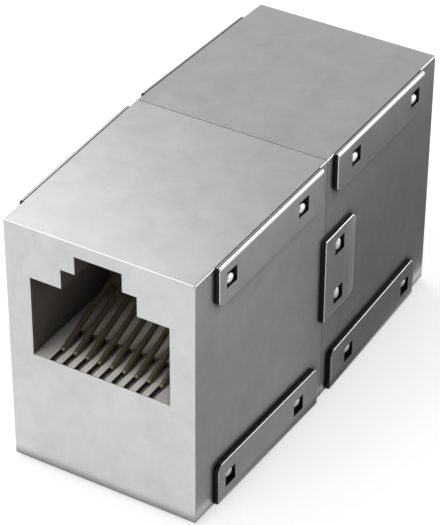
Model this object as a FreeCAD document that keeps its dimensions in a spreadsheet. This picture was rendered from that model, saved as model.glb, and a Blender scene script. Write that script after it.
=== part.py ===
import FreeCAD, Part
import os
import re

import Sketcher
from FreeCAD import Placement, Rotation, Vector

# A shielded coupler that joins two network leads end to end.
#
# Frame: millimetres, +Z up, X across the coupler, Y along it. The front port opens at -Y and the
# rear port at +Y. The origin is midway along the coupler, under the middle of its lowest line.
#
# Each half is drawn once, as the front half. The rear half is the same half turned about Z.

doc = FreeCAD.newDocument("InlineCoupler")
sizes = doc.addObject("Spreadsheet::Sheet", "Sizes")

DRIVING_SIZES = (
    ("length", 36.62, "over the two end faces"),
    ("end_width", 16.0, "width of an end face"),
    ("end_height", 21.41, "height of an end face"),
    ("flare_side", 0.306, "how much wider each side stands at the seam than at the end"),
    ("flare_height", 0.328, "how much further the top and the bottom stand out at the seam"),
    ("seam_gap", 0.05, "gap between the two shells"),
    ("sheet_thickness", 0.35, "plated sheet of the shells"),
    ("edge_radius", 0.12, "outside of the folds along a shell's edges"),
    ("die_roll", 0.08, "rounding that blanking leaves along the outline of a tab or a tongue"),
    ("mouth_land", 0.1, "thin edge left where the sheet is coined around the mouth"),
    ("mouth_rim", 0.3, "width of the coined band around the mouth"),
    ("mouth_bevel", 0.05, "small bevel around the mouth"),
    ("port_width", 11.77, "width of the plug cavity"),
    ("port_height", 6.87, "height of the plug cavity"),
    ("step_width", 6.4, "width of the latch shoulder above the cavity"),
    ("step_height", 1.66, "height of the latch shoulder"),
    ("notch_width", 3.97, "width of the latch notch above the shoulder"),
    ("notch_height", 1.55, "height of the latch notch"),
    ("mouth_top_margin", 1.13, "end face left above the latch notch"),
    ("port_depth", 10.35, "end face to the back wall of the cavity"),
    ("back_wall", 0.8, "wall between the cavity and the contact carrier"),
    ("slide_fit", 0.03, "clearance around a piece that slides into another"),
    ("overcut", 1.0, "how far a cutting block runs past the face that it opens"),
    ("contact_count", 9, "contacts in each port"),
    ("contact_pitch", 1.063, "contact to contact"),
    ("wire_diameter", 0.46, "round contact wire"),
    ("wire_clearance", 0.035, "wire to the wall of its channel, each side"),
    ("tip_setback", 1.45, "end face to the free end of a contact"),
    ("tip_height", -0.05, "free end of a contact above the cavity floor, so it lies in its comb slot"),
    ("tip_rounding", 0.18, "rounding of the free end"),
    ("contact_rise", 3.3, "rise of a contact from its free end to the back wall"),
    ("comb_length", 4.3, "length of the comb slots, from the end face"),
    ("comb_depth", 0.4, "depth of the comb slots in the cavity floor"),
    ("knee_setback", 1.0, "back of the carrier wall to the upright run of a contact"),
    ("carrier_side_wall", 0.7, "carrier outside its first and last channel"),
    ("carrier_above", 1.0, "carrier above the highest point of its contacts"),
    ("carrier_below", 1.0, "carrier below its lowest row of tails"),
    ("tail_height", 1.8, "highest row of tails above the cavity floor"),
    ("row_pitch", 2.0, "row of tails to the next row"),
    ("tail_length", 0.6, "tail past the far face of the board"),
    ("board_thickness", 1.6, "link circuit board"),
    ("board_margin", 0.4, "board edge to the inside of the shells"),
    ("board_corner", 1.0, "corner radius of the board"),
    ("hole_clearance", 0.07, "board hole around a tail, each side"),
    ("solder_radius", 0.55, "solder joint at the board"),
    ("solder_height", 0.4, "solder joint along the tail"),
    ("relief_depth", 1.0, "hollow of the carrier over the other port's solder joints"),
    ("relief_rise", 0.8, "that hollow above and below its two rows of joints"),
    ("core_wall", 1.2, "housing wall around its hollow cores"),
    ("tab_gap", 0.03, "hairline between a folded tab and the side it covers"),
    ("tab_seam_margin", 1.07, "middle of the seam to the near end of a tab"),
    ("tab_end_margin", 2.66, "end face to the far end of a tab"),
    ("top_tab_height", 3.45, "tab folded down from the top"),
    ("bottom_tab_height", 3.7, "tab folded up from the bottom"),
    ("tab_corner", 0.4, "cut corners at the free edge of a tab"),
    ("bend_radius", 0.3, "outside of the fold at a tab's root"),
    ("crease_width", 0.09, "groove pressed along a tab's root"),
    ("crease_depth", 0.07, "depth of that groove"),
    ("window_length", 1.38, "snap window of a tab, along the coupler"),
    ("window_height", 1.34, "snap window of a tab, up"),
    ("window_edge_distance", 1.85, "window centre to the free edge of its tab"),
    ("window_seam_distance", 2.96, "first window centre to the near end of its tab"),
    ("window_end_distance", 1.63, "second window centre to the far end of its tab"),
    ("boss_length", 1.24, "snap boss along the edge that it catches"),
    ("boss_width", 0.82, "snap boss across that edge"),
    ("boss_recess", 0.05, "boss below the outside of the sheet that it catches"),
    ("boss_shift", 0.25, "boss centre from the window centre, towards the free edge"),
    ("tongue_length", 4.45, "seam to the free end of a tongue"),
    ("tongue_height", 7.55, "tongue that laces the two shells together"),
    ("tongue_rise", 0.25, "tongue centre above the middle of the coupler"),
    ("tongue_window_length", 1.45, "window of a tongue, along the coupler"),
    ("tongue_window_pitch", 4.6, "window to window, up the tongue"),
    ("tongue_window_distance", 1.87, "seam to the centre of the tongue windows"),
)


def write_sizes():
    for row, (name, value, meaning) in enumerate(DRIVING_SIZES, start=1):
        sizes.set(f"A{row}", name)
        sizes.set(f"B{row}", str(value))
        sizes.set(f"C{row}", meaning)
        sizes.setAlias(f"B{row}", name)
    doc.recompute()


def size(name):
    return float(sizes.get(name))


def bind(feature, prop, formula):
    """Ties a property to a formula whose words are names of driving sizes."""
    feature.setExpression(prop, re.sub(r"[a-z]\w*", lambda word: f"Sizes.{word.group()}", formula))


# ------------------------------------------------------------------ places, as formulas

END = "(-length / 2)"
INSIDE_END = f"({END} + sheet_thickness)"
SEAM = "(-seam_gap / 2)"
BOARD_FACE = "(-board_thickness / 2)"
MIDDLE_HEIGHT = "(flare_height + end_height / 2)"
TONGUE_CENTRE = f"({MIDDLE_HEIGHT} + tongue_rise)"

NOTCH_TOP = "(flare_height + end_height - mouth_top_margin)"
STEP_TOP = f"({NOTCH_TOP} - notch_height)"
PORT_TOP = f"({STEP_TOP} - step_height)"
PORT_FLOOR = f"({PORT_TOP} - port_height)"
PORT_BACK = f"({END} + port_depth)"
CARRIER_FRONT = f"({PORT_BACK} + back_wall)"
CHANNEL_HALF = "(wire_diameter / 2 + wire_clearance)"
CARRIER_HALF = f"((contact_count - 1) / 2 * contact_pitch + {CHANNEL_HALF} + carrier_side_wall)"

TIP = f"({END} + tip_setback)"
TIP_HEIGHT = f"({PORT_FLOOR} + tip_height)"
KNEE = f"({CARRIER_FRONT} + knee_setback)"
CARRIER_TOP = f"({TIP_HEIGHT} + contact_rise * ({KNEE} - {TIP}) / ({PORT_BACK} - {TIP}) + carrier_above)"


def side(y, outward="0"):
    """Half the flared width at a place on the front half."""
    return f"(end_width / 2 + flare_side * (1 + 2 * {y} / length) + {outward})"


def top(y, outward="0"):
    return f"(end_height + flare_height * (2 + 2 * {y} / length) + {outward})"


def bottom(y, outward="0"):
    return f"(-2 * flare_height * {y} / length - ({outward}))"


def wire_height(y):
    """Height of the sloping run of a contact."""
    return f"({TIP_HEIGHT} + contact_rise * ({y} - {TIP}) / ({PORT_BACK} - {TIP}))"


def contact_x(number):
    return f"(({number} - (contact_count - 1) / 2) * contact_pitch)"


def row_height(row):
    return f"({PORT_FLOOR} + tail_height - {row} * row_pitch)"


# ------------------------------------------------------------------ building blocks

def box(name, x, y, z):
    """A block from low to high along each axis."""
    block = doc.addObject("Part::Box", name)
    for prop, axis, (low, high) in zip(("Length", "Width", "Height"), "xyz", (x, y, z)):
        bind(block, prop, f"{high} - {low}")
        bind(block, f"Placement.Base.{axis}", low)
    return block


def centred(half_width):
    return f"(-{half_width})", half_width


def around(centre, half):
    return f"({centre} - {half})", f"({centre} + {half})"


def wedge(name, start, end, half_width, low, high):
    """A block whose width, bottom and top are formulas of the place along Y."""
    block = doc.addObject("Part::Wedge", name)
    bind(block, "Ymin", start)
    bind(block, "Ymax", end)
    for prefix, place in (("X", start), ("X2", end)):
        bind(block, f"{prefix}min", f"-{half_width(place)}")
        bind(block, f"{prefix}max", half_width(place))
    for prefix, place in (("Z", start), ("Z2", end)):
        bind(block, f"{prefix}min", low(place))
        bind(block, f"{prefix}max", high(place))
    return block


def fuse(name, pieces):
    feature = doc.addObject("Part::MultiFuse", name)
    feature.Shapes = pieces
    feature.Refine = True
    return feature


def cut(name, base, tools):
    feature = doc.addObject("Part::Cut", name)
    feature.Base = base
    feature.Tool = tools[0] if len(tools) == 1 else fuse(name + "_tools", tools)
    feature.Refine = True
    return feature


def compound(name, pieces):
    feature = doc.addObject("Part::Compound", name)
    feature.Links = pieces
    return feature


def edge_run(edge):
    """The vector from one end of an edge to the other."""
    return edge.Vertexes[-1].Point - edge.Vertexes[0].Point


def edges_along(axis, shape):
    """The edges that run along an axis, or nearly so where the flare tilts them."""
    return [edge for edge in shape.Edges if abs(getattr(edge_run(edge), axis)) > 0.9 * edge.Length]


def side_outline(shape):
    """The edges around the two side faces of a block."""
    return [edge for edge in shape.Edges if abs(edge_run(edge).x) < 0.5 * edge.Length]


def dress(kind, name, base, amount, picked):
    """A Part::Fillet or Part::Chamfer of the same amount on every picked edge of the base."""
    doc.recompute()
    feature = doc.addObject(kind, name)
    feature.Base = base
    chosen = picked(base.Shape)
    feature.Edges = [(i, amount, amount) for i, edge in enumerate(base.Shape.Edges, 1)
                     if any(edge.isSame(other) for other in chosen)]
    return feature


def port_boxes(name, start, end, margin):
    """The stepped section of a plug port: cavity, latch shoulder and latch notch."""
    y = (start, end)
    return [
        box(name + "_cavity", centred(f"(port_width / 2 + {margin})"), y,
            (f"({PORT_FLOOR} - {margin})", f"({PORT_TOP} + {margin})")),
        box(name + "_shoulder", centred(f"(step_width / 2 + {margin})"), y,
            (PORT_FLOOR, f"({STEP_TOP} + {margin})")),
        box(name + "_notch", centred(f"(notch_width / 2 + {margin})"), y,
            (PORT_FLOOR, f"({NOTCH_TOP} + {margin})")),
    ]


# ------------------------------------------------------------------ shells

TAB_NEAR = "(-tab_seam_margin)"
TAB_FAR = f"({END} + tab_end_margin)"
TAB_OUT = "tab_gap + sheet_thickness"
WINDOW_PLACES = (f"({TAB_NEAR} - window_seam_distance)", f"({TAB_FAR} + window_end_distance)")


def tab_edge(y, up):
    """Height of a tab's free edge."""
    return f"({top(y)} - top_tab_height)" if up > 0 else f"({bottom(y)} + bottom_tab_height)"


def tab_window_height(y, up):
    return f"({tab_edge(y, up)} + window_edge_distance)" if up > 0 else (
        f"({tab_edge(y, up)} - window_edge_distance)")


def folded_tabs(name, up):
    """The two tabs folded over the sides from the top sheet (up = 1) or the bottom sheet (up = -1)."""
    def edge(y):
        return tab_edge(y, up)

    def root(y):
        return top(y) if up > 0 else bottom(y)

    def root_inside(y):
        return top(y, "-sheet_thickness") if up > 0 else bottom(y, "-sheet_thickness")

    low, high = (edge, root) if up > 0 else (root, edge)
    hollow_low, hollow_high = (
        (lambda y: f"({edge(y)} - overcut)", root_inside) if up > 0 else
        (root_inside, lambda y: f"({edge(y)} + overcut)"))
    outside = wedge(name + "_outside", TAB_FAR, TAB_NEAR, lambda y: side(y, TAB_OUT), low, high)
    hollow = wedge(name + "_hollow", f"({TAB_FAR} - overcut)", f"({TAB_NEAR} + overcut)",
                   lambda y: side(y, "tab_gap"), hollow_low, hollow_high)

    def corner_edges(shape):
        return sorted(edges_along("x", shape), key=lambda edge: up * edge.CenterOfMass.z)[:2]

    def bend_edges(shape):
        return sorted(edges_along("y", shape), key=lambda edge: up * edge.CenterOfMass.z)[-2:]

    def rolled_edges(shape):
        below_bend = up * shape.BoundBox.Center.z + shape.BoundBox.ZLength / 4
        return [edge for edge in side_outline(shape) if up * edge.CenterOfMass.z < below_bend]

    corners = dress("Part::Chamfer", name + "_corners", outside, size("tab_corner"), corner_edges)
    bent = dress("Part::Fillet", name + "_bent", corners, size("bend_radius"), bend_edges)
    rolled = dress("Part::Fillet", name + "_rolled", bent, size("die_roll"), rolled_edges)
    windows = [
        box(f"{name}_window_{i}", centred(side(SEAM, "overcut")), around(y, "window_length / 2"),
            around(tab_window_height(y, up), "window_height / 2"))
        for i, y in enumerate(WINDOW_PLACES, 1)]
    return cut(name, rolled, [hollow] + windows)


def crease(name, hand, up):
    """The groove pressed along the root of a tab."""
    groove = doc.addObject("Part::Wedge", name)
    bind(groove, "Ymin", TAB_FAR)
    bind(groove, "Ymax", TAB_NEAR)
    for prefix, y in (("X", TAB_FAR), ("X2", TAB_NEAR)):
        inner, outer = f"({side(y)} - crease_width / 2)", f"({side(y)} + crease_width / 2)"
        bind(groove, prefix + "min", inner if hand > 0 else f"-{outer}")
        bind(groove, prefix + "max", outer if hand > 0 else f"-{inner}")
    for prefix, y in (("Z", TAB_FAR), ("Z2", TAB_NEAR)):
        bind(groove, prefix + "min", top(y, "-crease_depth") if up > 0 else bottom(y, "overcut"))
        bind(groove, prefix + "max", top(y, "overcut") if up > 0 else bottom(y, "-crease_depth"))
    return groove


def boss(name, hand, y, z, along_y, along_z):
    """A pressed snap boss, a low dome on a side of the shell. Its seam is turned to the inside."""
    dome = doc.addObject("Part::Ellipsoid", name)
    dome.Placement = Placement(Vector(), Rotation(Vector(0, 0, 1), 180 if hand > 0 else 0))
    bind(dome, "Radius1", f"{along_z} / 2")
    bind(dome, "Radius2", "sheet_thickness + tab_gap - boss_recess")
    bind(dome, "Radius3", f"{along_y} / 2")
    bind(dome, "Placement.Base.x", side(y) if hand > 0 else f"-{side(y)}")
    bind(dome, "Placement.Base.y", y)
    bind(dome, "Placement.Base.z", z)
    return dome


def tab_bosses(name):
    shift = {1: "- boss_shift", -1: "+ boss_shift"}
    return [
        boss(f"{name}_boss_{'top' if up > 0 else 'bottom'}_{'right' if hand > 0 else 'left'}_{i}", hand, y,
             f"{tab_window_height(y, up)} {shift[up]}", "boss_length", "boss_width")
        for up in (1, -1) for hand in (1, -1) for i, y in enumerate(WINDOW_PLACES, 1)]


TONGUE_WINDOW_HEIGHTS = (f"({TONGUE_CENTRE} - tongue_window_pitch / 2)",
                         f"({TONGUE_CENTRE} + tongue_window_pitch / 2)")


def tongue_bosses(name):
    """The bosses of the rear shell that the tongue windows catch."""
    return [
        boss(f"{name}_tongue_boss_{'right' if hand > 0 else 'left'}_{i}", hand,
             "(-tongue_window_distance)", z, "boss_width", "boss_length")
        for hand in (1, -1) for i, z in enumerate(TONGUE_WINDOW_HEIGHTS, 1)]


def tongues(name):
    """The two tongues that step out over the rear shell and lie along its flared sides."""
    def rear_side(y, outward="0"):
        return side(f"(-{y})", outward)

    low, high = around(TONGUE_CENTRE, "tongue_height / 2")

    def slab(suffix, start, end, half_width, margin):
        return wedge(f"{name}_{suffix}", start, end, half_width,
                     lambda y: f"({low} - {margin})", lambda y: f"({high} + {margin})")

    def far_edges(shape):
        return sorted(edges_along("x", shape), key=lambda edge: edge.CenterOfMass.y)[-2:]

    outside = slab("outside", f"({SEAM} - sheet_thickness)", "tongue_length",
                   lambda y: rear_side(y, "sheet_thickness"), "0")
    trimmed = dress("Part::Chamfer", name + "_corners", outside, size("tab_corner"), far_edges)
    rolled = dress("Part::Fillet", name + "_rolled", trimmed, size("die_roll"), side_outline)
    root = slab("root", f"({SEAM} - sheet_thickness - overcut)", "overcut",
                lambda y: f"({side('0')} - sheet_thickness / 2)", "overcut")
    inside = slab("inside", "0", "(tongue_length + overcut)", rear_side, "overcut")
    windows = [
        box(f"{name}_window_{i}", centred(rear_side("0", "overcut")),
            around("tongue_window_distance", "tongue_window_length / 2"),
            around(z, "window_height / 2"))
        for i, z in enumerate(TONGUE_WINDOW_HEIGHTS, 1)]
    return [cut(name, rolled, [root, inside] + windows)]


def shell(name, extras):
    """One folded shell: a flared can with the mouth in its end, its four tabs and its bosses."""
    def folded_edges(shape):
        return [edge for edge in shape.Edges if edge.BoundBox.YMin < shape.BoundBox.Center.y]

    def mouth_edges(shape):
        end_face = min(shape.Faces, key=lambda face: face.CenterOfMass.y)
        return [edge for wire in end_face.Wires if not wire.isSame(end_face.OuterWire) for edge in wire.Edges]

    block = wedge(name + "_block", END, SEAM, side, bottom, top)
    outside = dress("Part::Fillet", name + "_outside", block, size("edge_radius"), folded_edges)
    hollow = wedge(name + "_hollow", INSIDE_END, "0", lambda y: side(y, "-sheet_thickness"),
                   lambda y: bottom(y, "-sheet_thickness"), lambda y: top(y, "-sheet_thickness"))
    mouth = port_boxes(name + "_mouth", f"({END} - overcut)", f"({INSIDE_END} + overcut)", "0")
    rim = port_boxes(name + "_rim", f"({END} + mouth_land)", f"({INSIDE_END} + overcut)", "mouth_rim")
    open_can = cut(name + "_open_can", outside, [hollow] + mouth + rim)
    can = dress("Part::Chamfer", name + "_can", open_can, size("mouth_bevel"), mouth_edges)
    tabs = [folded_tabs(name + "_top_tabs", 1), folded_tabs(name + "_bottom_tabs", -1)]
    whole = fuse(name + "_whole", [can] + tabs + tab_bosses(name) + extras)
    creases = [
        crease(f"{name}_crease_{'top' if up > 0 else 'bottom'}_{'right' if hand > 0 else 'left'}", hand, up)
        for up in (1, -1) for hand in (1, -1)]
    return cut(name, whole, creases)


# ------------------------------------------------------------------ socket housing and carrier

def socket_housing(name):
    """The moulded plug socket that fills a shell, from the end face to the board."""
    def fitted_side(y):
        return side(y, "-sheet_thickness - slide_fit")

    def fitted_bottom(y):
        return bottom(y, "-sheet_thickness - slide_fit")

    def fitted_top(y):
        return top(y, "-sheet_thickness - slide_fit")

    block = wedge(name + "_block", INSIDE_END, BOARD_FACE, fitted_side, fitted_bottom, fitted_top)
    nose = port_boxes(name + "_nose", f"({END} + mouth_land)", INSIDE_END, "(mouth_rim - slide_fit)")
    solid = fuse(name + "_solid", [block] + nose)
    cavity = port_boxes(name + "_port", f"({END} - overcut)", PORT_BACK, "0")
    comb = [
        box(f"{name}_comb_{i}", around(contact_x(i), CHANNEL_HALF), (END, f"({END} + comb_length)"),
            (f"({PORT_FLOOR} - comb_depth)", f"({PORT_FLOOR} + overcut)"))
        for i in range(int(size("contact_count")))]
    gates = [
        box(f"{name}_gate_{i}", around(contact_x(i), CHANNEL_HALF),
            (f"({PORT_BACK} - overcut)", CARRIER_FRONT),
            (f"({wire_height(PORT_BACK)} - wire_diameter)",
             f"({wire_height(CARRIER_FRONT)} + wire_diameter)"))
        for i in range(int(size("contact_count")))]
    carrier_room = box(name + "_carrier_room", centred(f"({CARRIER_HALF} + slide_fit)"),
                       (CARRIER_FRONT, "0"),
                       (f"({row_height(3)} - carrier_below)", f"({CARRIER_TOP} + slide_fit)"))
    core_half = f"({side(INSIDE_END)} - sheet_thickness - core_wall)"
    front_core = box(name + "_front_core", centred(core_half),
                     (f"({INSIDE_END} + core_wall)", f"({PORT_BACK} - core_wall)"),
                     ("(-overcut)", f"({PORT_FLOOR} - comb_depth - core_wall)"))
    rear_core = box(name + "_rear_core", centred(core_half), (PORT_BACK, f"({BOARD_FACE} - core_wall)"),
                    ("(-overcut)", f"({row_height(3)} - carrier_below - core_wall)"))
    return cut(name, solid, cavity + comb + gates + [carrier_room, front_core, rear_core])


def contact_carrier(name, first_row, other_row):
    """The comb behind the cavity. Its channels hold one port's contacts, and its hollow clears the
    solder joints of the other port's tails."""
    block = box(name + "_block", centred(CARRIER_HALF), (CARRIER_FRONT, BOARD_FACE),
                (f"({row_height(3)} - carrier_below)", CARRIER_TOP))
    channels = [
        box(f"{name}_channel_{i}", around(contact_x(i), CHANNEL_HALF), (f"({CARRIER_FRONT} - overcut)", "0"),
            (f"({row_height(first_row + i % 2)} - {CHANNEL_HALF})", f"({CARRIER_TOP} + overcut)"))
        for i in range(int(size("contact_count")))]
    hollow = box(name + "_hollow", centred(f"({CARRIER_HALF} - carrier_side_wall / 2)"),
                 (f"({BOARD_FACE} - relief_depth)", "0"),
                 (f"({row_height(other_row + 1)} - relief_rise)",
                  f"({row_height(other_row)} + relief_rise)"))
    return cut(name, block, channels + [hollow])


# ------------------------------------------------------------------ contacts and their joints

def wire_path(name, number, row):
    """A contact's centre line: tail through the board, upright run, then the slope to its free end."""
    path = doc.addObject("Sketcher::SketchObject", name)
    path.Placement = Placement(Vector(), Rotation(Vector(1, 1, 1), 120))
    bind(path, "Placement.Base.x", contact_x(number))
    corners = (
        ("(board_thickness / 2 + tail_length)", row_height(row)),
        (KNEE, row_height(row)),
        (KNEE, wire_height(KNEE)),
        (TIP, TIP_HEIGHT),
    )
    rough = (Vector(1, 1, 0), Vector(-6, 1, 0), Vector(-6, 9, 0), Vector(-16, 5, 0))
    for start, end in zip(rough, rough[1:]):
        path.addGeometry(Part.LineSegment(start, end))
    path.addConstraint([Sketcher.Constraint("Coincident", 0, 2, 1, 1),
                        Sketcher.Constraint("Coincident", 1, 2, 2, 1)])
    points = ((0, 1), (1, 1), (2, 1), (2, 2))
    for corner, ((y, z), (line, end)) in enumerate(zip(corners, points)):
        for kind, formula in (("DistanceX", y), ("DistanceY", z)):
            held = path.addConstraint(Sketcher.Constraint(kind, -1, 1, line, end, 1.0))
            path.renameConstraint(held, f"{kind}_{corner}")
            bind(path, f"Constraints.{kind}_{corner}", formula)
    return path


def contact(name, number, row):
    """One contact: round wire swept along its path, with a rounded free end."""
    path = wire_path(name + "_path", number, row)
    section = doc.addObject("Part::Circle", name + "_section")
    bind(section, "Radius", "wire_diameter / 2")
    section.Placement = Placement(Vector(), Rotation(Vector(1, 0, 0), 90))
    bind(section, "Placement.Base.x", contact_x(number))
    bind(section, "Placement.Base.y", "board_thickness / 2 + tail_length")
    bind(section, "Placement.Base.z", row_height(row))
    wire = doc.addObject("Part::Sweep", name + "_wire")
    wire.Sections = [section]
    wire.Spine = (path, [])
    wire.Solid = True
    wire.Transition = "Round corner"

    def free_end(shape):
        near_end = shape.BoundBox.YMin + size("wire_diameter")
        return [edge for edge in shape.Edges if edge.Length > 0 and edge.CenterOfMass.y < near_end
                and isinstance(edge.Curve, Part.Circle)]

    return dress("Part::Fillet", name, wire, size("tip_rounding"), free_end)


def solder(name, first_row):
    """The solder cones around one port's tails, on the far face of the board."""
    joints = []
    for i in range(int(size("contact_count"))):
        cone = doc.addObject("Part::Cone", f"{name}_cone_{i}")
        tail = doc.addObject("Part::Cylinder", f"{name}_tail_{i}")
        bind(cone, "Radius1", "solder_radius")
        bind(cone, "Radius2", "wire_diameter / 2 + hole_clearance")
        bind(cone, "Height", "solder_height")
        bind(tail, "Radius", "wire_diameter / 2")
        bind(tail, "Height", "solder_height + 2 * overcut")
        for piece, y in ((cone, "board_thickness / 2"), (tail, "board_thickness / 2 - overcut")):
            piece.Placement = Placement(Vector(), Rotation(Vector(1, 0, 0), -90))
            bind(piece, "Placement.Base.x", contact_x(i))
            bind(piece, "Placement.Base.y", y)
            bind(piece, "Placement.Base.z", row_height(first_row + i % 2))
        joints.append(cut(f"{name}_joint_{i}", cone, [tail]))
    return compound(name, joints)


# ------------------------------------------------------------------ link board

def link_board(name):
    """The board between the two housings, drilled for the tails of both ports."""
    body = doc.addObject("PartDesign::Body", name)
    upright = next(plane for plane in body.Origin.OriginFeatures if plane.Role == "XZ_Plane")

    def sketch_on_board(suffix):
        sketch = body.newObject("Sketcher::SketchObject", f"{name}_{suffix}")
        sketch.AttachmentSupport = (upright, [""])
        sketch.MapMode = "FlatFace"
        return sketch

    def hold(sketch, constraint, label, formula):
        index = sketch.addConstraint(constraint)
        sketch.renameConstraint(index, label)
        bind(sketch, f"Constraints.{label}", formula)

    outline = sketch_on_board("outline")
    corners = [Vector(-5, 5, 0), Vector(5, 5, 0), Vector(5, 15, 0), Vector(-5, 15, 0)]
    for start, end in zip(corners, corners[1:] + corners[:1]):
        outline.addGeometry(Part.LineSegment(start, end))
    for line in range(4):
        outline.addConstraint(Sketcher.Constraint("Coincident", line, 2, (line + 1) % 4, 1))
        outline.addConstraint(Sketcher.Constraint("Vertical" if line % 2 else "Horizontal", line))
    half_width = side("0", "-sheet_thickness - slide_fit - board_margin")
    hold(outline, Sketcher.Constraint("DistanceX", 0, 1, 0, 2, 10), "width", f"2 * {half_width}")
    hold(outline, Sketcher.Constraint("DistanceX", -1, 1, 0, 2, 5), "right", half_width)
    hold(outline, Sketcher.Constraint("DistanceY", -1, 1, 0, 2, 5), "low",
         bottom("0", "-sheet_thickness - slide_fit - board_margin"))
    hold(outline, Sketcher.Constraint("DistanceY", -1, 1, 1, 2, 15), "high",
         top("0", "-sheet_thickness - slide_fit - board_margin"))
    pad = body.newObject("PartDesign::Pad", name + "_plate")
    pad.Profile = outline
    pad.Midplane = True
    bind(pad, "Length", "board_thickness")
    doc.recompute()

    rounded = body.newObject("PartDesign::Fillet", name + "_rounded")
    rounded.Base = (pad, [f"Edge{i}" for i, edge in enumerate(pad.Shape.Edges, 1)
                          if abs(edge_run(edge).y) > 0.9 * edge.Length])
    bind(rounded, "Radius", "board_corner")
    doc.recompute()

    count = int(size("contact_count"))
    for row in range(4):
        sketch = sketch_on_board(f"row_{row + 1}")
        sketch.addGeometry(Part.Circle(Vector(-4, 9, 0), Vector(0, 0, 1), 0.3))
        hold(sketch, Sketcher.Constraint("Radius", 0, 0.3), "radius", "wire_diameter / 2 + hole_clearance")
        hold(sketch, Sketcher.Constraint("DistanceX", -1, 1, 0, 3, -4), "first", contact_x(row % 2))
        hold(sketch, Sketcher.Constraint("DistanceY", -1, 1, 0, 3, 9), "height", row_height(row))
        hole = body.newObject("PartDesign::Pocket", f"{name}_hole_{row + 1}")
        hole.Profile = sketch
        hole.Type = "ThroughAll"
        hole.Midplane = True
        doc.recompute()
        holes = body.newObject("PartDesign::LinearPattern", f"{name}_holes_{row + 1}")
        holes.Originals = [hole]
        holes.Direction = (sketch, ["H_Axis"])
        holes.Occurrences = len(range(row % 2, count, 2))
        bind(holes, "Length", f"2 * contact_pitch * ({holes.Occurrences} - 1)")
        body.Tip = holes
        doc.recompute()
    return body


# ------------------------------------------------------------------ assembly

HALVES = (("front", 0, 0), ("rear", 180, 2))


def build():
    write_sizes()
    nodes = [link_board("link_board")]
    for half, turn, first_row in HALVES:
        laces = tongues(half + "_tongues") if half == "front" else tongue_bosses(half)
        pieces = [
            shell(half + "_shell", laces),
            socket_housing(half + "_socket_housing"),
            contact_carrier(half + "_contact_carrier", first_row, 2 - first_row),
            solder(half + "_contact_solder", first_row),
        ]
        pieces += [contact(f"{half}_contact_{i + 1}", i, first_row + i % 2)
                   for i in range(int(size("contact_count")))]
        for piece in pieces:
            piece.Placement = Placement(Vector(), Rotation(Vector(0, 0, 1), turn))
        nodes += pieces
    doc.recompute()
    return nodes


def check(nodes):
    for feature in doc.Objects:
        if {"Invalid", "Error"} & set(feature.State):
            raise RuntimeError(f"{feature.Name} failed: {feature.State}")
    for node in nodes:
        if node.Shape.isNull() or not node.Shape.isValid():
            raise RuntimeError(f"{node.Label} has no valid shape")


def export(nodes):
    os.makedirs("parts", exist_ok=True)
    for node in nodes:
        node.Shape.exportStep(f"parts/{node.Label}.step")
        print(f"{node.Label}: {len(node.Shape.Solids)} solid(s), {node.Shape.Volume:.2f} mm3")


nodes = build()
check(nodes)
export(nodes)
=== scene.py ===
# %% [markdown]
# # A shielded coupler for two network leads
#
# The real object is two cans folded from plated steel sheet, laced end to end by snap tabs. Each
# can holds a moulded socket with nine springy contact wires. The hard shapes come from the CAD
# model, which this script loads as a fixed frame and never moves. What is added here is what CAD
# leaves out: the finish of each piece, the light around it and the place it is seen from.

import math

import bpy
import numpy as np
from mathutils import Matrix, Vector


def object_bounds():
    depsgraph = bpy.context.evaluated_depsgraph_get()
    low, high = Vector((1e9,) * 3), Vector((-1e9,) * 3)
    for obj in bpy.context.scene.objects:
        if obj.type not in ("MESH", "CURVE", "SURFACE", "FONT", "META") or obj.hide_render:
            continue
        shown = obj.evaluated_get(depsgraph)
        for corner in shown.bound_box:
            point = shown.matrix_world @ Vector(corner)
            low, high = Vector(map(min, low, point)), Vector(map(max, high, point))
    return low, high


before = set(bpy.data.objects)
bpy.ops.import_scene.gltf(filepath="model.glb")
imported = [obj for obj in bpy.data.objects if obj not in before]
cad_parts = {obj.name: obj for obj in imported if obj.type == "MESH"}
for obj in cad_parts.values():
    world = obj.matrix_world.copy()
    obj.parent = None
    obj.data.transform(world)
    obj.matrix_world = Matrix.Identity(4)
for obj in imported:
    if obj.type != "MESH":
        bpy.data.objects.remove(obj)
cad_low, cad_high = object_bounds()
MM = 0.001
print("CAD nodes:", len(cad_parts), "size in mm:", [round(v / MM, 2) for v in cad_high - cad_low])

# %% [markdown]
# ## Where it is seen from
#
# A camera is three axes and a place. The axes come from two angles, round the object and above the
# horizon, and a small roll about the line of sight. A long lens from about five lengths away keeps
# the edges nearly parallel, as in a catalogue picture.

# %% Camera
AZIMUTH, ELEVATION, ROLL = math.radians(30.674), math.radians(35.205), math.radians(0.298)
CAMERA_DISTANCE = 195.147 * MM
AIM_RIGHT, AIM_UP = -0.7006 * MM, 7.7813 * MM
END_FACE_BOTTOM = 0.328 * MM
LENS_MM = 167.12
CLIP_NEAR, CLIP_FAR = 10 * MM, 5000 * MM

back = Vector((math.sin(AZIMUTH) * math.cos(ELEVATION), -math.cos(AZIMUTH) * math.cos(ELEVATION),
               math.sin(ELEVATION)))
level_right = Vector((math.cos(AZIMUTH), math.sin(AZIMUTH), 0))
level_up = back.cross(level_right)
right = math.cos(ROLL) * level_right + math.sin(ROLL) * level_up
up = back.cross(right)

camera = bpy.data.objects.new("camera", bpy.data.cameras.new("camera"))
bpy.context.scene.collection.objects.link(camera)
camera.data.lens = LENS_MM
camera.data.clip_start, camera.data.clip_end = CLIP_NEAR, CLIP_FAR
camera.matrix_world = Matrix.Translation(
    back * CAMERA_DISTANCE + right * AIM_RIGHT + up * AIM_UP + Vector((0, 0, END_FACE_BOTTOM))
) @ Matrix((right, up, back)).transposed().to_4x4()
bpy.context.scene.camera = camera
bpy.context.scene.view_settings.view_transform = "Standard"
print("camera at", [round(v / MM, 1) for v in camera.matrix_world.translation], "mm")

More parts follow.
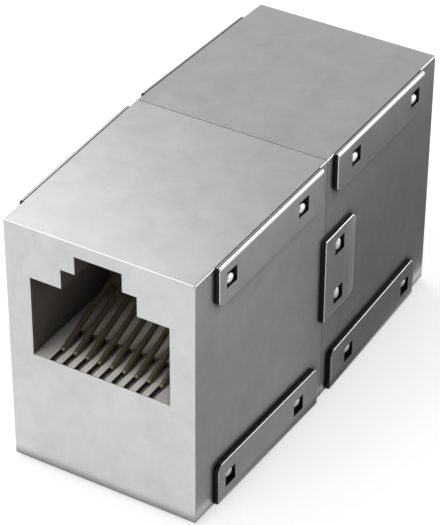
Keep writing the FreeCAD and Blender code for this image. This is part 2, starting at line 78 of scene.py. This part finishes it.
# %% [markdown]
# ## Helpers for materials
#
# Colours are written as the hex values a colour picker shows. Those are sRGB, while shaders work in
# linear light, so one function converts. Another adds a shader node with its settings and links.
# Every pattern reads Object coordinates, which are metres here, so a scale is one over a real size.

# %% Helpers
def hex_colour(code):
    """sRGB hex to linear: below 0.04045 divide by 12.92, above it ((c + 0.055) / 1.055) ** 2.4."""
    channels = np.array([int(code[i:i + 2], 16) for i in (1, 3, 5)]) / 255
    linear = np.where(channels <= 0.04045, channels / 12.92, ((channels + 0.055) / 1.055) ** 2.4)
    return (*linear.tolist(), 1.0)


def add(tree, kind, settings=(), inputs=(), stops=()):
    """A shader node. Settings are its properties, an input is a plain value or another node's
    socket, and stops are the (position, hex colour) pairs of a colour ramp."""
    node = tree.nodes.new("ShaderNode" + kind)
    for name, value in dict(settings).items():
        setattr(node, name, value)
    for name, value in dict(inputs).items():
        if isinstance(value, bpy.types.NodeSocket):
            tree.links.new(value, node.inputs[name])
        else:
            node.inputs[name].default_value = value
    for index, (position, code) in enumerate(stops):
        elements = node.color_ramp.elements
        element = elements[index] if index < len(elements) else elements.new(position)
        element.position, element.color = position, hex_colour(code)
    return node


def new_material(name):
    """An empty node material, its tree and its coordinates."""
    material = bpy.data.materials.new(name)
    material.use_nodes = True
    material.node_tree.nodes.clear()
    return material, material.node_tree, add(material.node_tree, "TexCoord")


def show(tree, shader):
    """Sends a shader to the surface."""
    tree.links.new(shader.outputs[0], add(tree, "OutputMaterial").inputs["Surface"])


def paint(names, material):
    """Gives a material to CAD nodes."""
    for name in names:
        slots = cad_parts[name].data.materials
        slots.clear()
        slots.append(material)
    print(material.name, "on", len(names), "nodes")


# %% [markdown]
# ## Where the plate is cut, and where the domes take a painted highlight
#
# The sheet is plated in the coil, before the blanks are punched out of it. So the faces are bright
# nickel, while every punched edge is torn, bare steel and rough, and painted near-black as well, a
# painted shade, since the thin edges sit in shade. The little domes that snap into the windows are
# painted near-white: a painted highlight.
#
# No picture is needed to tell these apart. Tabs, tongues and domes are all that stands out from the
# side of the can. Of that, what faces along the can or up and down is a cut edge, and what faces
# sideways but lies below the outside of the tabs is a dome. The fold at a tab's root is neither,
# because there the plating just goes round the bend. A mask is 1 where all of its tests hold, so its
# tests are multiplied together. The can is a little wider and taller at the seam than at its ends,
# and adding that slope back makes "how far out" one number for the whole side.

# %% Masks
MIDDLE_HEIGHT = (cad_low.z + cad_high.z) / 2
HALF_LENGTH = (cad_high.y - cad_low.y) / 2
HALF_HEIGHT = (cad_high.z - cad_low.z) / 2
HALF_WIDTH_AT_SEAM = 8.306 * MM
SIDE_FLARE, TOP_FLARE = 0.306 * MM, 0.328 * MM
SIDE_SLOPE, TOP_SLOPE = SIDE_FLARE / HALF_LENGTH, TOP_FLARE / HALF_LENGTH
TAB_GAP, DOME_HEIGHT, BEND_RADIUS = 0.03 * MM, 0.33 * MM, 0.3 * MM
HAIR = 0.02 * MM

# How squarely a face points along an axis: 1 is straight along it, 0 is at right angles to it.
EDGE_FACES_SIDEWAYS_BELOW, EDGE_FACES_ALONG_ABOVE, DOME_FACES_SIDEWAYS_ABOVE = 0.5, 0.5, 0.4


def cut_edges_and_dome_highlight(tree, coordinates):
    """Two masks, of the punched edges and of the domes that take a painted highlight."""
    place = add(tree, "VectorMath", {"operation": "SUBTRACT"}, {
        0: coordinates.outputs["Object"], 1: (0, 0, MIDDLE_HEIGHT)}).outputs["Vector"]
    reach = add(tree, "VectorMath", {"operation": "ABSOLUTE"}, {0: place}).outputs["Vector"]
    out_side = add(tree, "VectorMath", {"operation": "DOT_PRODUCT"}, {
        0: reach, 1: (1, SIDE_SLOPE, 0)}).outputs["Value"]
    out_top = add(tree, "VectorMath", {"operation": "DOT_PRODUCT"}, {
        0: reach, 1: (0, TOP_SLOPE, 1)}).outputs["Value"]
    facing = add(tree, "VectorMath", {"operation": "ABSOLUTE"}, {
        0: coordinates.outputs["Normal"]}).outputs["Vector"]
    facing = add(tree, "SeparateXYZ", inputs={"Vector": facing}).outputs

    proud = (out_side, "GREATER_THAN", HALF_WIDTH_AT_SEAM + HAIR)
    edge_on = (facing["X"], "LESS_THAN", EDGE_FACES_SIDEWAYS_BELOW)
    below_bend = (out_top, "LESS_THAN", HALF_HEIGHT - BEND_RADIUS - HAIR)
    end_on = (facing["Y"], "GREATER_THAN", EDGE_FACES_ALONG_ABOVE)
    on_dome = [(out_side, "GREATER_THAN", HALF_WIDTH_AT_SEAM + TAB_GAP + HAIR),
               (out_side, "LESS_THAN", HALF_WIDTH_AT_SEAM + DOME_HEIGHT + HAIR),
               (facing["X"], "GREATER_THAN", DOME_FACES_SIDEWAYS_ABOVE)]
    masks = []
    for tests in ([proud, edge_on, below_bend], [proud, edge_on, end_on], [*on_dome, below_bend]):
        mask = 1.0
        for value, comparison, limit in tests:
            test = add(tree, "Math", {"operation": comparison}, {0: value, 1: limit}).outputs[0]
            mask = add(tree, "Math", {"operation": "MULTIPLY"}, {0: mask, 1: test}).outputs[0]
        masks.append(mask)
    cut = add(tree, "Math", {"operation": "MAXIMUM"}, {0: masks[0], 1: masks[1]}).outputs[0]
    return cut, masks[2]


print("half length and half height in mm:", round(HALF_LENGTH / MM, 3), round(HALF_HEIGHT / MM, 3))

# %% [markdown]
# ## Satin nickel plate
#
# The shells are steel sheet, plated with nickel, then punched and folded. Plating is bright where the steel
# under it is smooth. This sheet was rolled and lightly blasted, so reflections are soft, and a faint
# cloudiness a few millimetres across is left in both tone and gloss. Under that is a grain of about
# a tenth of a millimetre, felt only as a slight roughness of the highlights. Where two sheets nearly
# touch, the plate is painted darker, a painted contact shadow. Ambient Occlusion measures how shut in
# a point is, so it draws that painted shade as a dark line in the corners.

# %% Satin nickel
CLOUD_SIZE, GRAIN_SIZE, GRAIN_RELIEF = 2.4 * MM, 0.12 * MM, 0.0005 * MM
PLATE_TONES = [(0.3, "#C0C0C0"), (0.5, "#C6C6C6"), (0.7, "#CBCBCB")]
PLATE_ROUGHNESS = (0.27, 0.31)
# The corner tone is painted shade, the cut-edge tone is bare steel painted darker as shade, and the dome
# tone is a painted highlight.
CORNER_PAINTED_SHADE, CORNER_REACH, CORNER_POWER = "#1C1B1A", 1.3 * MM, 3.0
CUT_STEEL_AND_PAINTED_SHADE, DOME_PAINTED_HIGHLIGHT = ("#3A3836", 0.55), ("#F8F8F8", 0.5)


def satin_nickel():
    """Cloudy, softly shining plate, with painted shade in the corners, cut edges painted near-black as bare
    steel and shade, and a painted highlight on the domes.
    """
    material, tree, coordinates = new_material("satin_nickel_plate")
    place = coordinates.outputs["Object"]
    clouds = add(tree, "TexNoise", inputs={
        "Vector": place, "Scale": 1 / CLOUD_SIZE, "Detail": 6, "Roughness": 0.62,
        "Distortion": 0.5}).outputs["Fac"]
    grain = add(tree, "TexNoise", inputs={
        "Vector": place, "Scale": 1 / GRAIN_SIZE, "Detail": 2, "Roughness": 0.6}).outputs["Fac"]
    colour = add(tree, "ValToRGB", inputs={"Fac": clouds}, stops=PLATE_TONES).outputs["Color"]
    gloss = add(tree, "MapRange", inputs={
        "Value": clouds, "To Min": PLATE_ROUGHNESS[0], "To Max": PLATE_ROUGHNESS[1]}).outputs["Result"]
    relief = add(tree, "Bump", inputs={
        "Height": grain, "Distance": GRAIN_RELIEF, "Strength": 0.2}).outputs["Normal"]

    # Painted shade: the plate is darkened towards the corner tone where Ambient Occlusion finds it shut in.
    open_sky = add(tree, "AmbientOcclusion", {"samples": 8}, {"Distance": CORNER_REACH}).outputs["AO"]
    plate_unshaded = add(tree, "Math", {"operation": "POWER"}, {0: open_sky, 1: CORNER_POWER}).outputs[0]
    colour = add(tree, "Mix", {"data_type": "RGBA"}, {
        0: plate_unshaded, 6: hex_colour(CORNER_PAINTED_SHADE), 7: colour}).outputs[2]

    cut, dome_highlight = cut_edges_and_dome_highlight(tree, coordinates)
    # Cut edges take a near-black tone, bare steel plus painted shade; domes take a near-white tone, a
    # painted highlight.
    for mask, (tone, roughness) in ((cut, CUT_STEEL_AND_PAINTED_SHADE), (dome_highlight, DOME_PAINTED_HIGHLIGHT)):
        colour = add(tree, "Mix", {"data_type": "RGBA"}, {
            0: mask, 6: colour, 7: hex_colour(tone)}).outputs[2]
        gloss = add(tree, "Mix", {"data_type": "FLOAT"}, {0: mask, 2: gloss, 3: roughness}).outputs[0]
    show(tree, add(tree, "BsdfPrincipled", inputs={
        "Base Color": colour, "Metallic": 1.0, "Roughness": gloss, "Normal": relief}))
    return material


paint(["front_shell", "rear_shell"], satin_nickel())

# %% [markdown]
# ## Moulded plug socket
#
# The socket is injection-moulded PBT, a tough engineering plastic. The mould was spark-eroded, which
# leaves a fine matte texture of about a tenth of a millimetre and a dull sheen. In the comb slots and
# inner corners the colour is painted darker where a point is shut in: a painted shade. The upright
# walls are painted darker too, a painted shade, as light from the front hardly reaches them. A wall
# is told from a floor by the direction that it faces.

# %% PBT
SKIN_SIZE, SKIN_RELIEF, FLOW_SIZE = 0.15 * MM, 0.01 * MM, 3 * MM
SKIN_ROUGHNESS, PBT_IOR = (0.42, 0.6), 1.52
WALL_FACES_SIDEWAYS_ABOVE = 0.7
SHUT_IN_REACH, SHUT_IN_POWER = 3.0 * MM, 1.4


def moulded_pbt(name, dark, light, wall_painted_shade, shut_in_shade):
    """Matte plastic between two tones, with painted shade on the upright walls and where it is shut in."""
    material, tree, coordinates = new_material(name)
    place = coordinates.outputs["Object"]
    skin = add(tree, "TexNoise", inputs={
        "Vector": place, "Scale": 1 / SKIN_SIZE, "Detail": 3}).outputs["Fac"]
    flow = add(tree, "TexNoise", inputs={
        "Vector": place, "Scale": 1 / FLOW_SIZE, "Detail": 2}).outputs["Fac"]
    colour = add(tree, "ValToRGB", inputs={"Fac": flow}, stops=[(0.3, dark), (0.7, light)]).outputs["Color"]
    # Painted shade: upright walls take a darker tone, as light from the front hardly reaches them.
    facing = add(tree, "VectorMath", {"operation": "ABSOLUTE"}, {
        0: coordinates.outputs["Normal"]}).outputs["Vector"]
    sideways = add(tree, "Math", {"operation": "GREATER_THAN"}, {
        0: add(tree, "SeparateXYZ", inputs={"Vector": facing}).outputs["X"],
        1: WALL_FACES_SIDEWAYS_ABOVE}).outputs[0]
    colour = add(tree, "Mix", {"data_type": "RGBA"}, {
        0: sideways, 6: colour, 7: hex_colour(wall_painted_shade)}).outputs[2]

    # Painted shade: the colour darkens where Ambient Occlusion finds a point shut in.
    open_sky = add(tree, "AmbientOcclusion", {"samples": 8}, {"Distance": SHUT_IN_REACH}).outputs["AO"]
    pbt_unshaded = add(tree, "Math", {"operation": "POWER"}, {0: open_sky, 1: SHUT_IN_POWER}).outputs[0]
    colour = add(tree, "Mix", {"data_type": "RGBA"}, {
        0: pbt_unshaded, 6: hex_colour(shut_in_shade), 7: colour}).outputs[2]
    gloss = add(tree, "MapRange", inputs={
        "Value": skin, "To Min": SKIN_ROUGHNESS[0], "To Max": SKIN_ROUGHNESS[1]}).outputs["Result"]
    relief = add(tree, "Bump", inputs={
        "Height": skin, "Distance": SKIN_RELIEF, "Strength": 0.3}).outputs["Normal"]
    show(tree, add(tree, "BsdfPrincipled", inputs={
        "Base Color": colour, "Roughness": gloss, "IOR": PBT_IOR, "Normal": relief}))
    return material


# In each call the last two tones are painted shade, for the upright walls and for shut-in places.
paint(["front_socket_housing", "rear_socket_housing"],
      moulded_pbt("grey_moulded_PBT", "#D4D0C9", "#DAD6D0", "#7A756D", "#3E3A35"))
paint(["front_contact_carrier", "rear_contact_carrier"],
      moulded_pbt("black_moulded_PBT", "#26262A", "#2E2E32", "#222226", "#0C0C0D"))

# %% [markdown]
# ## Contact wires
#
# The springs are phosphor bronze wire under a thin gold flash. Drawn wire carries very fine lines
# along its length, and the flash is thin enough for the bronze to show through in a browner tone.

# %% Gilded bronze
LINE_WIDTH, LINE_STRETCH, LINE_RELIEF = 0.06 * MM, 0.08, 0.004 * MM
TINT_SIZE = 1.5 * MM
WIRE_TONES = [(0.3, "#8C856E"), (0.7, "#9C957C")]
WIRE_ROUGHNESS = (0.44, 0.56)


def gilded_bronze():
    """Drawn wire: noise stretched along the wire gives its lines."""
    material, tree, coordinates = new_material("gold_flashed_bronze_wire")
    place = coordinates.outputs["Object"]
    drawn = add(tree, "Mapping", inputs={"Vector": place, "Scale": (1, LINE_STRETCH, 1)}).outputs["Vector"]
    lines = add(tree, "TexNoise", inputs={
        "Vector": drawn, "Scale": 1 / LINE_WIDTH, "Detail": 2}).outputs["Fac"]
    tint = add(tree, "TexNoise", inputs={
        "Vector": place, "Scale": 1 / TINT_SIZE, "Detail": 3}).outputs["Fac"]
    colour = add(tree, "ValToRGB", inputs={"Fac": tint}, stops=WIRE_TONES).outputs["Color"]
    gloss = add(tree, "MapRange", inputs={
        "Value": lines, "To Min": WIRE_ROUGHNESS[0], "To Max": WIRE_ROUGHNESS[1]}).outputs["Result"]
    relief = add(tree, "Bump", inputs={
        "Height": lines, "Distance": LINE_RELIEF, "Strength": 0.4}).outputs["Normal"]
    show(tree, add(tree, "BsdfPrincipled", inputs={
        "Base Color": colour, "Metallic": 1.0, "Roughness": gloss, "Normal": relief}))
    return material


CONTACTS = [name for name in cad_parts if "_contact_" in name and name[-1].isdigit()]
paint(CONTACTS, gilded_bronze())

# %% [markdown]
# ## Link board
#
# The board is glass-fibre laminate under green solder mask. The mask pools a little between the
# fibres of the weave, which repeats about every half millimetre. At a scale of 1 a wave texture
# repeats every 2 * pi / 20 units, so the scale is that length over the length of one repeat.

# %% Solder mask
WEAVE_REPEAT, WEAVE_WANDER, WEAVE_RELIEF = 0.5 * MM, 0.4, 0.01 * MM
REPEAT_AT_SCALE_ONE = 2 * math.pi / 20
MASK_TONES = [(0.0, "#12502C"), (1.0, "#1B6238")]
MASK_ROUGHNESS, MASK_IOR = (0.3, 0.2), 1.5


def solder_mask():
    """Two sets of bands at right angles, multiplied, make the weave."""
    material, tree, coordinates = new_material("green_solder_mask")
    weave = [add(tree, "TexWave", {"bands_direction": axis}, {
        "Vector": coordinates.outputs["Object"], "Scale": REPEAT_AT_SCALE_ONE / WEAVE_REPEAT,
        "Distortion": WEAVE_WANDER}).outputs["Fac"] for axis in "XZ"]
    cloth = add(tree, "Math", {"operation": "MULTIPLY"}, {0: weave[0], 1: weave[1]}).outputs[0]
    colour = add(tree, "ValToRGB", inputs={"Fac": cloth}, stops=MASK_TONES).outputs["Color"]
    gloss = add(tree, "MapRange", inputs={
        "Value": cloth, "To Min": MASK_ROUGHNESS[0], "To Max": MASK_ROUGHNESS[1]}).outputs["Result"]
    relief = add(tree, "Bump", inputs={
        "Height": cloth, "Distance": WEAVE_RELIEF, "Strength": 0.3}).outputs["Normal"]
    show(tree, add(tree, "BsdfPrincipled", inputs={
        "Base Color": colour, "Roughness": gloss, "IOR": MASK_IOR, "Normal": relief}))
    return material


paint(["link_board"], solder_mask())

# %% [markdown]
# ## Solder
#
# The joints are tin solder that froze as it wetted the tails, so it is smooth, bright and a little
# uneven.

# %% Solder
BLOB_SIZE, BLOB_RELIEF = 0.2 * MM, 0.01 * MM
SOLDER_TONES = [(0.3, "#C4C5C8"), (0.7, "#D4D5D8")]
SOLDER_ROUGHNESS = (0.2, 0.35)


def tin_solder():
    """Bright metal with an uneven skin."""
    material, tree, coordinates = new_material("tin_solder")
    grain = add(tree, "TexNoise", inputs={
        "Vector": coordinates.outputs["Object"], "Scale": 1 / BLOB_SIZE, "Detail": 3}).outputs["Fac"]
    colour = add(tree, "ValToRGB", inputs={"Fac": grain}, stops=SOLDER_TONES).outputs["Color"]
    gloss = add(tree, "MapRange", inputs={
        "Value": grain, "To Min": SOLDER_ROUGHNESS[0], "To Max": SOLDER_ROUGHNESS[1]}).outputs["Result"]
    relief = add(tree, "Bump", inputs={
        "Height": grain, "Distance": BLOB_RELIEF, "Strength": 0.4}).outputs["Normal"]
    show(tree, add(tree, "BsdfPrincipled", inputs={
        "Base Color": colour, "Metallic": 1.0, "Roughness": gloss, "Normal": relief}))
    return material


paint(["front_contact_solder", "rear_contact_solder"], tin_solder())

# %% [markdown]
# ## The table
#
# Metal has almost no colour of its own: it shows what stands around it. So the studio matters as much
# as the finish. The object stands on a matte grey board. To the camera and to mirror reflections the
# board also glows, so it looks white there, as a lit backdrop would. To all other light it stays
# grey: it throws little light up into the port, and the object's soft shadow is kept.

# %% Table
TABLE_REACH = 1500 * MM
BOARD_GLOW, BOARD_ROUGHNESS, FIBRE_SIZE = 0.65, 0.9, 8 * MM
BOARD_TONES = [(0.3, "#A8A8A8"), (0.7, "#ACACAC")]
CORNERS = ((-1, -1), (1, -1), (1, 1), (-1, 1))


def flat_board(name, low, high, height):
    """A level rectangle from its low to its high corner."""
    mesh = bpy.data.meshes.new(name)
    places = [(high[0] if x > 0 else low[0], high[1] if y > 0 else low[1], height) for x, y in CORNERS]
    mesh.from_pydata(places, [], [(0, 1, 2, 3)])
    board = bpy.data.objects.new(name, mesh)
    bpy.context.scene.collection.objects.link(board)
    print(name, "at height", height / MM, "mm")
    return board


def backdrop_board():
    """A matte grey board that glows to camera and mirror rays only."""
    material, tree, coordinates = new_material("matte_backdrop_board")
    fibres = add(tree, "TexNoise", inputs={
        "Vector": coordinates.outputs["Object"], "Scale": 1 / FIBRE_SIZE, "Detail": 3}).outputs["Fac"]
    colour = add(tree, "ValToRGB", inputs={"Fac": fibres}, stops=BOARD_TONES).outputs["Color"]
    ray = add(tree, "LightPath").outputs
    seen = add(tree, "Math", {"operation": "ADD"}, {
        0: ray["Is Camera Ray"], 1: ray["Is Glossy Ray"]}).outputs[0]
    glow = add(tree, "Math", {"operation": "MULTIPLY"}, {0: seen, 1: BOARD_GLOW}).outputs[0]
    show(tree, add(tree, "BsdfPrincipled", inputs={
        "Base Color": colour, "Roughness": BOARD_ROUGHNESS, "Emission Color": hex_colour("#FFFFFF"),
        "Emission Strength": glow}))
    return material


table = flat_board("table", (-TABLE_REACH, -TABLE_REACH), (TABLE_REACH, TABLE_REACH), 0.0)
table.data.materials.append(backdrop_board())

# %% [markdown]
# ## The grey card
#
# With nothing but white around it, a metal box looks like a paper one. In a studio a grey card is
# laid just out of view, on the side that should read darker, so that the metal has something dark
# to mirror. This one lies on the right and glows evenly by itself, though it is no lamp, so the dark
# it lends the metal is a painted reflection. Only mirror reflections see it, and it casts no shadow.
# It is graded from light to dark across a slanting line. The two halves of the coupler flare
# different ways, so each mirrors its own side of that line.

# %% Grey card
CARD_NEAR_X, CARD_FAR_X = 8.7 * MM, 34 * MM
CARD_NEAR_Y, CARD_FAR_Y = -18.3 * MM, 60 * MM
CARD_HEIGHT = 0.3 * MM
FADE_ACROSS = (-1.69, 1.0, 0.0)
FADE_FROM, FADE_TO = -19.7 * MM, -9.7 * MM
FADE_TONES = [(0.0, "#9E9E9E"), (1.0, "#707070")]


def graded_card():
    """Light on one side of a slanting line and dark on the other, with a smooth fade between them."""
    material, tree, coordinates = new_material("graded_grey_card")
    across = add(tree, "VectorMath", {"operation": "DOT_PRODUCT"}, {
        0: coordinates.outputs["Object"], 1: FADE_ACROSS}).outputs["Value"]
    fade = add(tree, "MapRange", {"interpolation_type": "SMOOTHSTEP"}, {
        "Value": across, "From Min": FADE_FROM, "From Max": FADE_TO}).outputs["Result"]
    tone = add(tree, "ValToRGB", inputs={"Fac": fade}, stops=FADE_TONES).outputs["Color"]
    # The card glows though it is no lamp; what the metal mirrors of it is a painted reflection.
    show(tree, add(tree, "Emission", inputs={"Color": tone}))
    return material


card = flat_board("grey_card", (CARD_NEAR_X, CARD_NEAR_Y), (CARD_FAR_X, CARD_FAR_Y), CARD_HEIGHT)
card.visible_camera = card.visible_diffuse = card.visible_shadow = card.visible_transmission = False
card.data.materials.append(graded_card())

# %% [markdown]
# ## Lamps
#
# A soft box is a large square lamp, and its size decides how soft a highlight is. One hangs over the
# left shoulder: the top mirrors it, and its edge falls across the top as a slow fade. One stands low
# behind it and fills the far end. One stands at the right rear, where only folds, domes and rounded
# edges mirror it, so they light up as thin bright lines. The last one shines down into the port. It
# is hidden from mirror reflections, or the top edge of the front would flare. Angles are in degrees,
# and distances and sizes in millimetres.

# %% Lights
def soft_box(name, azimuth, elevation, distance, size, strength):
    """A square lamp that faces the object from an azimuth (0 is in front, 90 is on the right)."""
    a, e = math.radians(azimuth), math.radians(elevation)
    towards = Vector((math.sin(a) * math.cos(e), -math.cos(a) * math.cos(e), math.sin(e)))
    data = bpy.data.lights.new(name, "AREA")
    data.shape, data.size = "SQUARE", size * MM
    data.energy = strength * math.pi * (size * MM) ** 2
    lamp = bpy.data.objects.new(name, data)
    bpy.context.scene.collection.objects.link(lamp)
    lamp.location = towards * distance * MM
    lamp.rotation_mode = "QUATERNION"
    lamp.rotation_quaternion = towards.to_track_quat("Z", "Y")
    print(name, "strength", strength)
    return lamp


soft_box("box_overhead", -110, 57, 420, 420, 1.55)
soft_box("box_back", -165, 20, 600, 380, 0.52)
soft_box("box_right", 145, 23, 500, 400, 2.4)
soft_box("box_port", -10, 47, 500, 220, 5.5).visible_glossy = False

# %% [markdown]
# ## Sky
#
# The sky fills in what the lamps leave. It is brightest at the front left and fades to dark behind.

# %% Sky
SKY_TOWARDS = Vector((-0.80, -0.52, 0.28)).normalized()
SKY_DARK, SKY_BRIGHT = 0.1, 1.1
SKY_FADE_FROM, SKY_FADE_TO = 0.0, 0.75

world = bpy.data.worlds.new("studio")
bpy.context.scene.world = world
world.use_nodes = True
sky = world.node_tree
facing = add(sky, "VectorMath", {"operation": "DOT_PRODUCT"}, {
    0: add(sky, "TexCoord").outputs["Generated"], 1: SKY_TOWARDS}).outputs["Value"]
glow = add(sky, "MapRange", {"interpolation_type": "SMOOTHSTEP"}, {
    "Value": facing, "From Min": SKY_FADE_FROM, "From Max": SKY_FADE_TO,
    "To Min": SKY_DARK, "To Max": SKY_BRIGHT}).outputs["Result"]
sky.links.new(glow, sky.nodes["Background"].inputs["Strength"])
sky.nodes["Background"].inputs["Color"].default_value = hex_colour("#FFFFFF")
print("sky from", SKY_DARK, "to", SKY_BRIGHT)
